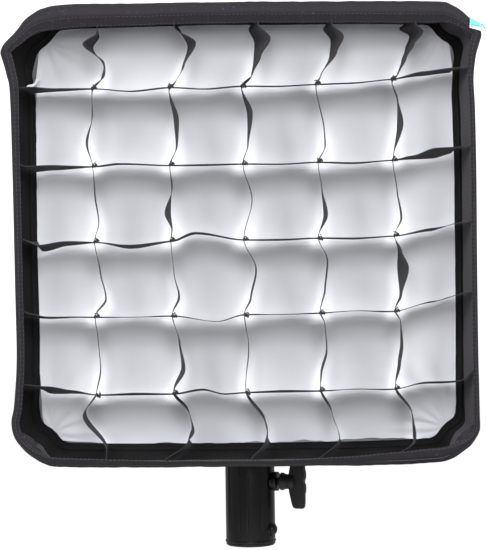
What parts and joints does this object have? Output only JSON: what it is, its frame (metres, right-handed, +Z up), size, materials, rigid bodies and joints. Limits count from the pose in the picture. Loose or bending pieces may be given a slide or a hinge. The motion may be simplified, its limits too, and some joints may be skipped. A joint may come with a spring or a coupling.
{
  "type": "grid softbox",
  "caption": "Square fabric softbox with a recessed diffuser, a fabric egg-crate grid, a rear lamp frame with clips, and a tilting stand receiver with a T-handle clamp.",
  "frame": {"origin": "centre of the stand receiver's mouth", "axes": "+Z up along the receiver's bore, -Y out of the softbox's open front, +X to the right seen from the front"},
  "size_m": [0.4692, 0.277, 0.571],
  "materials": {
    "shell_fabric": "matte woven",
    "silver_fabric": "satin reflective",
    "loop_tape": "woven loop",
    "diffusion_cloth": "translucent twill",
    "grid_fabric": "matte woven",
    "thread": "thread",
    "ribbon_white": "woven ribbon",
    "tab_blue": "woven ribbon",
    "rod_fibre": "glass-fibre rod",
    "rubber_black": "matte",
    "frame_metal": "black anodised",
    "moulded_black": "fine grain",
    "clip_metal": "black anodised",
    "black_steel": "black oxide",
    "cast_black": "satin black"
  },
  "bodies": {
    "receiver": {"receiver_casting": "cast_black", "clamp_boss_ring": "black_steel", "retaining_screw": "black_steel", "pivot_bolt": "black_steel", "pivot_washers": "black_steel"},
    "clip_top": {"lamp_clip_top": "clip_metal"},
    "clip_bottom": {"lamp_clip_bottom": "clip_metal"},
    "clip_left": {"lamp_clip_left": "clip_metal"},
    "clip_right": {"lamp_clip_right": "clip_metal"},
    "tilt_lever": {"tilt_lever": "moulded_black"},
    "pad": {"clamp_pad": "rubber_black"},
    "clamp_handle": {"clamp_screw": "black_steel", "t_handle": "moulded_black"},
    "head": {"shell_top": "shell_fabric", "shell_bottom": "shell_fabric", "shell_left": "shell_fabric", "shell_right": "shell_fabric", "hem_top": "shell_fabric", "hem_bottom": "shell_fabric", "hem_left": "shell_fabric", "hem_right": "shell_fabric", "rear_cuff": "shell_fabric", "corner_pockets": "shell_fabric", "silver_lining": "silver_fabric", "loop_band": "loop_tape", "diffuser_edge_tape": "loop_tape", "diffuser": "diffusion_cloth", "grid_border": "grid_fabric", "grid_strip_v1": "grid_fabric", "grid_strip_v2": "grid_fabric", "grid_strip_v3": "grid_fabric", "grid_strip_v4": "grid_fabric", "grid_strip_v5": "grid_fabric", "grid_strip_h1": "grid_fabric", "grid_strip_h2": "grid_fabric", "grid_strip_h3": "grid_fabric", "grid_strip_h4": "grid_fabric", "grid_strip_h5": "grid_fabric", "grid_knots": "thread", "pull_ribbon": "ribbon_white", "corner_tab": "tab_blue", "corner_rod_1": "rod_fibre", "corner_rod_2": "rod_fibre", "corner_rod_3": "rod_fibre", "corner_rod_4": "rod_fibre", "rod_tips": "rubber_black", "frame_rail_top": "frame_metal", "frame_rail_bottom": "frame_metal", "frame_rail_left": "frame_metal", "frame_rail_right": "frame_metal", "corner_socket_1": "moulded_black", "corner_socket_2": "moulded_black", "corner_socket_3": "moulded_black", "corner_socket_4": "moulded_black", "frame_screws": "black_steel", "clip_screws": "black_steel", "bracket_screws": "black_steel", "tilt_bracket": "cast_black"}
  },
  "joints": [
    {"name": "head_tilt", "type": "hinge", "parent": "receiver", "child": "head", "pos_m": [0, 0, 0.146], "axis": [-1, 0, 0], "range_deg": [-50, 90]},
    {"name": "tilt_lever_turn", "type": "hinge", "parent": "receiver", "child": "tilt_lever", "pos_m": [0.0295, 0, 0.146], "axis": [1, 0, 0], "range_deg": [-25, 45]},
    {"name": "clamp_travel", "type": "slide", "parent": "receiver", "child": "pad", "axis": [-0.9397, 0.342, 0], "range_m": [0, 0.003]},
    {"name": "clamp_turn", "type": "hinge", "parent": "pad", "child": "clamp_handle", "pos_m": [0.04698, -0.0171, 0.07], "axis": [-0.9397, 0.342, 0], "range_deg": [0, 720]},
    {"name": "clip_top_swing", "type": "hinge", "parent": "head", "child": "clip_top", "pos_m": [0, 0.0143, 0.496], "axis": [0, 1, 0], "range_deg": [0, 90]},
    {"name": "clip_bottom_swing", "type": "hinge", "parent": "head", "child": "clip_bottom", "pos_m": [0, 0.0143, 0.186], "axis": [0, 1, 0], "range_deg": [0, 90]},
    {"name": "clip_left_swing", "type": "hinge", "parent": "head", "child": "clip_left", "pos_m": [-0.155, 0.0143, 0.341], "axis": [0, 1, 0], "range_deg": [0, 90]},
    {"name": "clip_right_swing", "type": "hinge", "parent": "head", "child": "clip_right", "pos_m": [0.155, 0.0143, 0.341], "axis": [0, 1, 0], "range_deg": [0, 90]}
  ],
  "couplings": [
    {"joint": "clamp_travel", "follows": "clamp_turn", "m_per_rad": 0.0002387}
  ]
}
